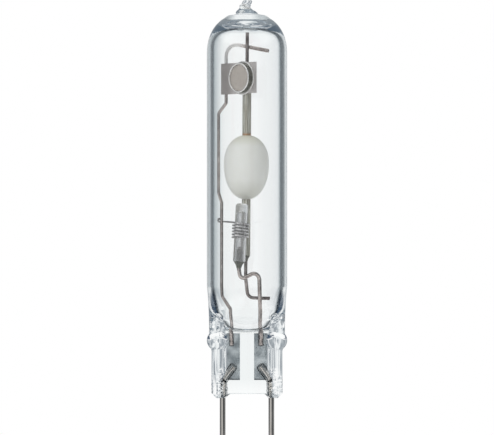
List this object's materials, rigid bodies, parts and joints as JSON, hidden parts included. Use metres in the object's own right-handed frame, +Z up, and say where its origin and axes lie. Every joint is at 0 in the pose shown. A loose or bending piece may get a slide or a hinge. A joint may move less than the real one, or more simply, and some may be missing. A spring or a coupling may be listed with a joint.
{
  "type": "metal halide lamp",
  "caption": "Single-ended discharge lamp: a ceramic burner on bent wire leads inside a clear domed quartz bulb, pressed flat at the bottom round foils that lead to straight contact pins.",
  "frame": {"origin": "middle of the flat end face of the pinch, between the contact pins, where the lamp seats", "axes": "+Z up the lamp to the sealed tip, +X from the left contact pin to the right one, -Y the front"},
  "size_m": [0.014, 0.014, 0.081],
  "materials": {
    "quartz": "clear fused quartz, fire polished",
    "alumina": "translucent sintered alumina, unglazed and milky",
    "igniter_ceramic": "translucent grey alumina tube",
    "pin_metal": "drawn and cleaned metal pin",
    "foil_metal": "thin rolled foil, grey blue",
    "lead_metal": "bare drawn wire",
    "niobium": "dull drawn wire, grey brown",
    "molybdenum": "ground rod",
    "tungsten": "drawn rod and fine wound wire",
    "frit": "fused sealing frit, dark olive and glossy",
    "plated_steel": "bright pressed strip",
    "getter_grains": "pressed granular metal powder",
    "mercury": "liquid metal bead",
    "halide_salt": "frozen salt bead, pale yellow"
  },
  "bodies": {
    "root": {"outer_bulb": "quartz", "arc_tube": "alumina", "igniter_tube": "igniter_ceramic", "left_contact_pin": "pin_metal", "right_contact_pin": "pin_metal", "left_sealing_foil": "foil_metal", "right_sealing_foil": "foil_metal", "frame_wire": "lead_metal", "stem_wire": "lead_metal", "ignition_coil": "lead_metal", "upper_feedthrough": "niobium", "lower_feedthrough": "niobium", "upper_electrode_lead": "molybdenum", "lower_electrode_lead": "molybdenum", "upper_electrode": "tungsten", "lower_electrode": "tungsten", "upper_electrode_coil": "tungsten", "lower_electrode_coil": "tungsten", "upper_frit_seal": "frit", "lower_frit_seal": "frit", "igniter_frit_seal": "frit", "getter_strip": "plated_steel", "getter_cup": "plated_steel", "getter_powder": "getter_grains", "mercury_drop": "mercury", "halide_salt_pellet": "halide_salt"}
  },
  "joints": []
}
